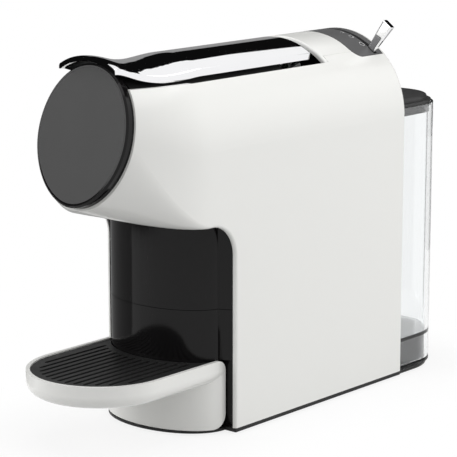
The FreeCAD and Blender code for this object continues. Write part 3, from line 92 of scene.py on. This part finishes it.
def tint(tree, source, dark, light):
    """Maps noise to a range of colours."""
    ramp = tree.nodes.new("ShaderNodeValToRGB")
    first, last = ramp.color_ramp.elements
    first.position, last.position = NOISE_LOW, NOISE_HIGH
    first.color, last.color = (*dark, 1), (*light, 1)
    tree.links.new(source, ramp.inputs[0])
    return ramp.outputs[0]


def bump(tree, bsdf, source, distance, strength):
    node = tree.nodes.new("ShaderNodeBump")
    node.inputs["Strength"].default_value = strength
    node.inputs["Distance"].default_value = distance
    tree.links.new(source, node.inputs["Height"])
    tree.links.new(node.outputs[0], bsdf.inputs["Normal"])


def math_node(tree, kind, operation, *sources):
    node = tree.nodes.new(kind)
    node.operation = operation
    for i, source in enumerate(sources):
        tree.links.new(source, node.inputs[i])
    return node


def mix_shaders(tree, factor, first, second, surface):
    mix = tree.nodes.new("ShaderNodeMixShader")
    for i, source in enumerate((factor, first, second)):
        tree.links.new(source, mix.inputs[i])
    tree.links.new(mix.outputs[0], surface)


# Materials

MOULD_TONE, MOULD_SMUDGE = 14, 55     # noise scales: slow tone drift, uneven gloss
MOULD_BUMP = 0.5
COAT_ROUGH = 0.05
METAL_TONE, METAL_BRUSH, METAL_HAZE = 30, 260, 90
BRUSH_DEPTH, BRUSH_BUMP = 2e-5, 0.4
CLEAR_HAZE, CLEAR_WAVE = 70, 18
WAVE_DEPTH, WAVE_BUMP = 6e-5, 0.3
CLEAR_IOR = 1.46


def moulded(name, colour, rough, grain=1800, depth=1e-5, vary=0.03, coat=0.0, shine=0.5, uneven=0.12):
    """Moulded plastic: a fine skin texture, slow tone drift and uneven gloss."""
    m, tree, bsdf = new_material(name)
    drift = noise(tree, MOULD_TONE, 3)
    dark = [c * (1 - vary) for c in colour]
    light = [min(c * (1 + vary), 1) for c in colour]
    tree.links.new(tint(tree, drift, dark, light), bsdf.inputs["Base Color"])
    smudge = noise(tree, MOULD_SMUDGE, 5, 0.6)
    gloss = spread(tree, smudge, rough * (1 - uneven), rough * (1 + uneven))
    tree.links.new(gloss, bsdf.inputs["Roughness"])
    bump(tree, bsdf, noise(tree, grain, 2), depth, MOULD_BUMP)
    bsdf.inputs["Specular IOR Level"].default_value = shine
    bsdf.inputs["Coat Weight"].default_value = coat
    bsdf.inputs["Coat Roughness"].default_value = COAT_ROUGH
    return m


def metal(name, colour, rough, brush=None, vary=0.02):
    """Bare metal: brushed along the given stretch, or polished with a slight haze."""
    m, tree, bsdf = new_material(name)
    bsdf.inputs["Metallic"].default_value = 1.0
    drift = noise(tree, METAL_TONE, 3)
    dark = [c * (1 - vary) for c in colour]
    tree.links.new(tint(tree, drift, dark, colour), bsdf.inputs["Base Color"])
    if brush:
        lines = noise(tree, METAL_BRUSH, 4, 0.6, brush)
        gloss = spread(tree, lines, rough * 0.75, rough * 1.3)
        bump(tree, bsdf, lines, BRUSH_DEPTH, BRUSH_BUMP)
    else:
        haze = noise(tree, METAL_HAZE, 5, 0.65)
        gloss = spread(tree, haze, rough * 0.7, rough * 1.5)
    tree.links.new(gloss, bsdf.inputs["Roughness"])
    return m


def clear(name, colour, rough):
    """Clear moulding with a faint haze and a slow wave in its surface."""
    m, tree, bsdf = new_material(name)
    bsdf.inputs["Base Color"].default_value = (*colour, 1)
    bsdf.inputs["Transmission Weight"].default_value = 1.0
    bsdf.inputs["IOR"].default_value = CLEAR_IOR
    haze = noise(tree, CLEAR_HAZE, 4)
    tree.links.new(spread(tree, haze, rough * 0.6, rough * 1.6), bsdf.inputs["Roughness"])
    bump(tree, bsdf, noise(tree, CLEAR_WAVE, 2), WAVE_DEPTH, WAVE_BUMP)
    return m


MATERIALS = {
    "shell_white": moulded("casing_white", (0.87, 0.87, 0.845), 0.2,
                           grain=1500, depth=4e-7, vary=0.002, coat=0.1, uneven=0.02),
    "gloss_black": moulded("column_gloss_black", (0.0065, 0.006, 0.0063), 0.09,
                           grain=900, depth=3e-6, vary=0.10, shine=0.2),
    "matte_black": moulded("frame_matte_black", (0.018, 0.018, 0.018), 0.42,
                           grain=2200, depth=2e-5, vary=0.12, shine=0.2),
    "disc_grey": moulded("disc_charcoal", (0.062, 0.062, 0.062), 0.62,
                         grain=2600, depth=6e-6, vary=0.008, shine=0.35, uneven=0.04),
    "panel_grey": moulded("panel_charcoal", (0.070, 0.070, 0.071), 0.45,
                          grain=2400, depth=1.2e-5, vary=0.05),
    "chrome": metal("polished_chrome", (0.90, 0.90, 0.91), 0.035),
    "tank_clear": clear("tank_clear", (0.962, 0.972, 0.975), 0.03),
    "lid_grey": moulded("lid_dark_grey", (0.024, 0.024, 0.024), 0.42, grain=2300, vary=0.04),
    "dock_grey": moulded("dock_mid_grey", (0.056, 0.056, 0.058), 0.45, grain=2000, vary=0.04),
    "filter_grey": moulded("filter_pale_grey", (0.66, 0.66, 0.65), 0.42, depth=2e-5, vary=0.05),
    "steel": metal("turned_steel", (0.58, 0.58, 0.59), 0.26, brush=(1, 18, 18)),
    "aluminium": metal("cast_aluminium", (0.66, 0.66, 0.67), 0.42, brush=(6, 6, 6), vary=0.08),
    "rubber": moulded("soft_rubber", (0.022, 0.022, 0.022), 0.72, grain=1200, depth=4e-5, vary=0.15),
    "hose": moulded("milky_hose", (0.66, 0.66, 0.63), 0.4, grain=600, depth=2e-5, vary=0.06),
    "board_green": moulded("board_green", (0.02, 0.10, 0.04), 0.35, grain=700, depth=3e-5, vary=0.2),
    "lens": moulded("smoked_lens", (0.085, 0.085, 0.088), 0.2, grain=1500, vary=0.04),
}

slots = {entry["node"]: entry["material_slot"] for entry in frame["record"]["subparts"]}
for name, obj in nodes.items():
    obj.data.materials.clear()
    obj.data.materials.append(MATERIALS[slots[name]])


def new_object(name, mesh, material):
    mesh.materials.append(material)
    obj = bpy.data.objects.new(name, mesh)
    scene.collection.objects.link(obj)
    return obj


def flat_mesh(name, verts, faces):
    mesh = bpy.data.meshes.new(name)
    mesh.from_pydata(verts, [], faces)
    return mesh


def arc(cx, cy, r, start, end, steps):
    turns = [math.radians(start + (end - start) * i / steps) for i in range(steps + 1)]
    return [(cx + r * math.cos(a), cy + r * math.sin(a)) for a in turns]


# Signs on the control panel: a power ring and two cups, printed on the round top

TOP_R = 0.056
TOP_AXIS_Z = 0.185
SIGN_Y = EDGE_Y + 0.1653
SIGN_LIFT = 0.00005
RING_ANGLE, RING_R, RING_LINE = 31, 0.0019, 0.00038
RING_OPEN = (118, 422)                # the ring's ends, either side of its upright stroke
RING_STROKE = [(0, 0.0004), (0, 0.0023)]
CUPS = ((20.5, 1.25), (12, 1.0))      # angle from the upright, scale
CUP_HALF, CUP_RISE, CUP_HANDLE, CUP_LINE = 0.0011, 0.0012, 0.0006, 0.0003


def on_panel(angle, across, along):
    """A place on the panel's round top: metres across and along from a sign's middle."""
    a = math.radians(angle) + across / TOP_R
    r = TOP_R + SIGN_LIFT
    return Vector((r * math.sin(a), SIGN_Y + along, TOP_AXIS_Z + r * math.cos(a)))


def stroke(verts, faces, angle, path, width):
    """A printed line of even width along a path of (across, along) points."""
    start = len(verts)
    count = len(path)
    for i, point in enumerate(path):
        before, after = path[max(i - 1, 0)], path[min(i + 1, count - 1)]
        run = Vector((after[0] - before[0], after[1] - before[1])).normalized() * (width / 2)
        verts.append(on_panel(angle, point[0] - run.y, point[1] + run.x))
        verts.append(on_panel(angle, point[0] + run.y, point[1] - run.x))
    for i in range(count - 1):
        a = start + 2 * i
        faces.append((a, a + 1, a + 3, a + 2))


def cup(scale):
    """Strokes of a small cup seen from the side, with a handle."""
    w, h = CUP_HALF * scale, CUP_RISE * scale
    body = [(-w, h)] + arc(0, -h + w * 0.8, w, 180, 360, 12) + [(w, h)]
    return [body, [(-w, h), (w, h)], arc(w, 0, CUP_HANDLE * scale, -80, 80, 8)]


def add_signs():
    verts, faces = [], []
    for path in [arc(0, 0, RING_R, *RING_OPEN, 28), RING_STROKE]:
        stroke(verts, faces, RING_ANGLE, path, RING_LINE)
    for angle, scale in CUPS:
        for path in cup(scale):
            stroke(verts, faces, angle, path, CUP_LINE)
    print_white = moulded("sign_white", (0.72, 0.72, 0.72), 0.5, grain=2000, depth=4e-6, vary=0.05)
    signs = new_object("panel_signs", flat_mesh("panel_signs", verts, faces), print_white)
    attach(signs, "machine")


add_signs()


def prisms(name, outlines, low, high, smooth=False):
    """A mesh of upright prisms, one on each plan outline."""
    shape = bmesh.new()
    for outline in outlines:
        face = shape.faces.new([shape.verts.new((x, y, low)) for x, y in outline])
        for item in bmesh.ops.extrude_face_region(shape, geom=[face])["geom"]:
            if isinstance(item, bmesh.types.BMVert):
                item.co.z = high
    bmesh.ops.recalc_face_normals(shape, faces=shape.faces)
    for face in shape.faces:
        face.smooth = smooth
    mesh = bpy.data.meshes.new(name)
    shape.to_mesh(mesh)
    shape.free()
    return mesh


# Black skirt of the base that runs back beside the tank's foot, in line with the flanks

SKIRT_HALF = 0.0554
SKIRT_FRONT = 0.104
SKIRT_REAR = 0.1715
SKIRT_CORNER = 0.041
SKIRT_STEPS = 24
SKIRT_LOW, SKIRT_HIGH = 0.0011, 0.0031
SKIRT_ROUND = 0.0004


def add_skirt():
    middle, rear = SKIRT_HALF - SKIRT_CORNER, SKIRT_REAR - SKIRT_CORNER
    outline = [(-SKIRT_HALF, SKIRT_FRONT), (SKIRT_HALF, SKIRT_FRONT)]
    outline += arc(middle, rear, SKIRT_CORNER, 0, 90, SKIRT_STEPS)
    outline += arc(-middle, rear, SKIRT_CORNER, 90, 180, SKIRT_STEPS)
    mesh = prisms("base_skirt", [outline], SKIRT_LOW, SKIRT_HIGH)
    skirt = new_object("base_skirt", mesh, MATERIALS["matte_black"])
    round_edges = skirt.modifiers.new("round_edges", "BEVEL")
    round_edges.width = SKIRT_ROUND
    round_edges.segments = 3
    round_edges.limit_method = "ANGLE"
    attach(skirt, "machine")


add_skirt()


# Cheeks that carry the column's curve out to the flanks, above and below its seam

SEAM_Z = 0.081
SEAM_GAP = 0.0003
CHEEK_TOP = 0.1495
CHEEK_FOOT = 0.0481
CHEEK_INNER = (0.0440, EDGE_Y - 0.0041)
CHEEK_OUTER = (0.0531, EDGE_Y + 0.0002)
CHEEK_BACK = EDGE_Y + 0.0012
CHEEK_BACK_X = 0.0430
CHEEK_BULGE = 0.0004
CHEEK_STEPS = 12
CHEEK_SHARP = 25                      # degrees between faces at which an edge stays sharp


def cheek_outline():
    """Plan of one cheek: a gently crowned front from the column's curve to the flank."""
    front = []
    for i in range(CHEEK_STEPS + 1):
        t = i / CHEEK_STEPS
        out = CHEEK_BULGE * 4 * t * (1 - t) * math.sqrt(0.5)
        front.append((CHEEK_INNER[0] + (CHEEK_OUTER[0] - CHEEK_INNER[0]) * t + out,
                      CHEEK_INNER[1] + (CHEEK_OUTER[1] - CHEEK_INNER[1]) * t - out))
    return front + [(CHEEK_OUTER[0], CHEEK_BACK), (CHEEK_BACK_X, CHEEK_BACK)]


def add_cheeks(name, low, high, body):
    pair = [[(side * x, y) for x, y in cheek_outline()] for side in (-1, 1)]
    mesh = prisms(name, pair, low, high, smooth=True)
    mesh.set_sharp_from_angle(angle=math.radians(CHEEK_SHARP))
    cheeks = new_object(name, mesh, MATERIALS["gloss_black"])
    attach(cheeks, body)


add_cheeks("column_cheeks", SEAM_Z + SEAM_GAP, CHEEK_TOP, "machine")
add_cheeks("bin_cheeks", CHEEK_FOOT, SEAM_Z, "tray")


# Camera, at the photograph's place

CAMERA_PLACE = (0.8817, -0.9770 + EDGE_Y, 0.4016)
CAMERA_AZIMUTH, CAMERA_ELEVATION = 40.41, 11.81
FOCAL_PIXELS, PHOTO_PIXELS = 2088.5, 457
SENSOR_WIDTH = 36


def add_camera():
    azimuth, elevation = math.radians(CAMERA_AZIMUTH), math.radians(CAMERA_ELEVATION)
    data = bpy.data.cameras.new("camera")
    data.sensor_width = SENSOR_WIDTH
    data.lens = FOCAL_PIXELS * SENSOR_WIDTH / PHOTO_PIXELS
    camera = bpy.data.objects.new("camera", data)
    scene.collection.objects.link(camera)
    back = Vector((math.sin(azimuth) * math.cos(elevation), -math.cos(azimuth) * math.cos(elevation),
                   math.sin(elevation)))
    camera.location = CAMERA_PLACE
    camera.rotation_euler = back.to_track_quat("Z", "Y").to_euler()
    scene.camera = camera


# Light, floor and studio cards

WORLD_AMBIENT, WORLD_SEEN = 0.37, 1.0
FLOOR_SIZE = 12
FLOOR_SCATTERED, FLOOR_SEEN = 0.55, 0.95     # the floor's tone to scattered light and as seen
FADE_CORE = (0.045, 0.165, 0)                # half size of the patch under the object
FADE_REACH = 0.085                           # from that patch to where the floor is plain white
FADE_START = 0.82                            # share of plain white in the patch

LAMPS = [
    # name, place, aimed at, width, height, watts, seen in gloss
    ("key_top", (0.1, 0.1, 1.5), (0, 0, 0.15), 1.7, 1.7, 11, True),
    ("flank", (1.35, 1.0, 0.6), (0, 0.02, 0.12), 2.2, 1.2, 15.6, False),
    ("front_left", (-1.0, -1.6, 0.8), (0, -0.1, 0.12), 1.1, 1.2, 10.5, True),
    ("left_rim", (-1.8, -0.5, 0.5), (0, -0.12, 0.03), 1.0, 1.0, 13, False),
    ("side_fill", (1.35, -0.5, 1.1), (0, -0.05, 0.08), 1.2, 1.0, 2.2, False),
]

FLAG_REAR_Y = 1.0
FLAG_REAR = [(-1.9, 0.02), (0.35, 0.02), (0.35, 0.96), (-0.15, 0.96), (-0.20, 0.90), (-0.40, 0.90),
             (-0.52, 0.95), (-0.60, 1.28), (-0.75, 1.7), (-1.9, 1.7)]


def area(name, place, target, width, height, watts, in_gloss):
    data = bpy.data.lights.new(name, "AREA")
    data.shape = "RECTANGLE"
    data.size, data.size_y, data.energy = width, height, watts
    lamp = bpy.data.objects.new(name, data)
    scene.collection.objects.link(lamp)
    lamp.location = place
    lamp.rotation_euler = (Vector(target) - lamp.location).to_track_quat("-Z", "Y").to_euler()
    lamp.visible_camera = False
    lamp.visible_glossy = in_gloss


def seen_directly(tree):
    """1 for rays from the camera, off gloss or through clear plastic, 0 for scattered light."""
    path = tree.nodes.new("ShaderNodeLightPath").outputs
    either = math_node(tree, "ShaderNodeMath", "MAXIMUM", path["Is Camera Ray"], path["Is Glossy Ray"])
    any_of = math_node(tree, "ShaderNodeMath", "MAXIMUM", either.outputs[0], path["Is Transmission Ray"])
    return any_of.outputs[0]


def background(tree, strength):
    node = tree.nodes.new("ShaderNodeBackground")
    node.inputs["Color"].default_value = (1, 1, 1, 1)
    node.inputs["Strength"].default_value = strength
    return node.outputs[0]


def add_world():
    world = bpy.data.worlds.new("studio")
    scene.world = world
    tree, surface = empty_tree(world, "ShaderNodeOutputWorld")
    ambient, seen = background(tree, WORLD_AMBIENT), background(tree, WORLD_SEEN)
    mix_shaders(tree, seen_directly(tree), ambient, seen, surface)


def floor_fade(tree):
    """The share of plain white in the floor, which grows with the distance from the object."""
    coords = tree.nodes.new("ShaderNodeTexCoord")
    outside = math_node(tree, "ShaderNodeVectorMath", "ABSOLUTE", coords.outputs["Object"])
    beyond = math_node(tree, "ShaderNodeVectorMath", "SUBTRACT", outside.outputs[0])
    beyond.inputs[1].default_value = FADE_CORE
    kept = math_node(tree, "ShaderNodeVectorMath", "MAXIMUM", beyond.outputs[0])
    length = math_node(tree, "ShaderNodeVectorMath", "LENGTH", kept.outputs[0])
    fade = tree.nodes.new("ShaderNodeMapRange")
    fade.interpolation_type = "SMOOTHSTEP"
    fade.inputs["From Min"].default_value = 0.0
    fade.inputs["From Max"].default_value = FADE_REACH
    fade.inputs["To Min"].default_value = FADE_START
    tree.links.new(length.outputs["Value"], fade.inputs[0])
    return fade.outputs[0]


def add_floor():
    """A pale floor that takes the object's shadow and runs out into the white background."""
    bpy.ops.mesh.primitive_plane_add(size=FLOOR_SIZE, location=(0, 0, 0))
    floor = bpy.context.object
    floor.name = "floor"
    m = bpy.data.materials.new("floor_pale")
    tree, surface = empty_tree(m, "ShaderNodeOutputMaterial")
    seen = seen_directly(tree)
    tone = tree.nodes.new("ShaderNodeMix")
    tone.data_type = "RGBA"
    tone.inputs["A"].default_value = (FLOOR_SCATTERED, FLOOR_SCATTERED, FLOOR_SCATTERED, 1)
    tone.inputs["B"].default_value = (FLOOR_SEEN, FLOOR_SEEN, FLOOR_SEEN, 1)
    tree.links.new(seen, tone.inputs["Factor"])
    diffuse = tree.nodes.new("ShaderNodeBsdfDiffuse")
    tree.links.new(tone.outputs["Result"], diffuse.inputs["Color"])
    white = tree.nodes.new("ShaderNodeEmission")
    share = math_node(tree, "ShaderNodeMath", "MULTIPLY", floor_fade(tree), seen)
    mix_shaders(tree, share.outputs[0], diffuse.outputs[0], white.outputs[0], surface)
    floor.data.materials.append(m)


def upright(start, end, low, high):
    """Corners of an upright card on the line between two places in plan."""
    return [(*start, low), (*end, low), (*end, high), (*start, high)]


def add_flag(name, corners, tone, through_clear=False):
    """A dark studio card that shows only in polished surfaces, or through clear plastic as well."""
    m = bpy.data.materials.new(name)
    tree, surface = empty_tree(m, "ShaderNodeOutputMaterial")
    glow = tree.nodes.new("ShaderNodeEmission")
    glow.inputs["Color"].default_value = (tone, tone, tone, 1)
    tree.links.new(glow.outputs[0], surface)
    card = new_object(name, flat_mesh(name, corners, [tuple(range(len(corners)))]), m)
    card.visible_camera = False
    card.visible_diffuse = False
    card.visible_transmission = through_clear
    card.visible_shadow = False


scene.view_settings.view_transform = "Standard"
add_camera()
add_world()
add_floor()
add_flag("flag_rear", [(x, FLAG_REAR_Y, z) for x, z in FLAG_REAR], 0.004)
add_flag("flag_front", upright((-0.70, -0.31), (-0.02, -0.89), 0.0, 0.28), 0.004)
add_flag("flag_left", upright((-0.16, -0.20), (-0.16, 0.35), 0.0, 0.30), 0.3)
add_flag("flag_tank", upright((-0.001, 0.262), (-0.2, 0.88), 0.0, 0.35), 0.05, through_clear=True)
add_flag("flag_paddle", upright((-0.03, 0.30), (0.10, 0.30), 0.05, 0.14), 0.42)
for lamp in LAMPS:
    area(*lamp)
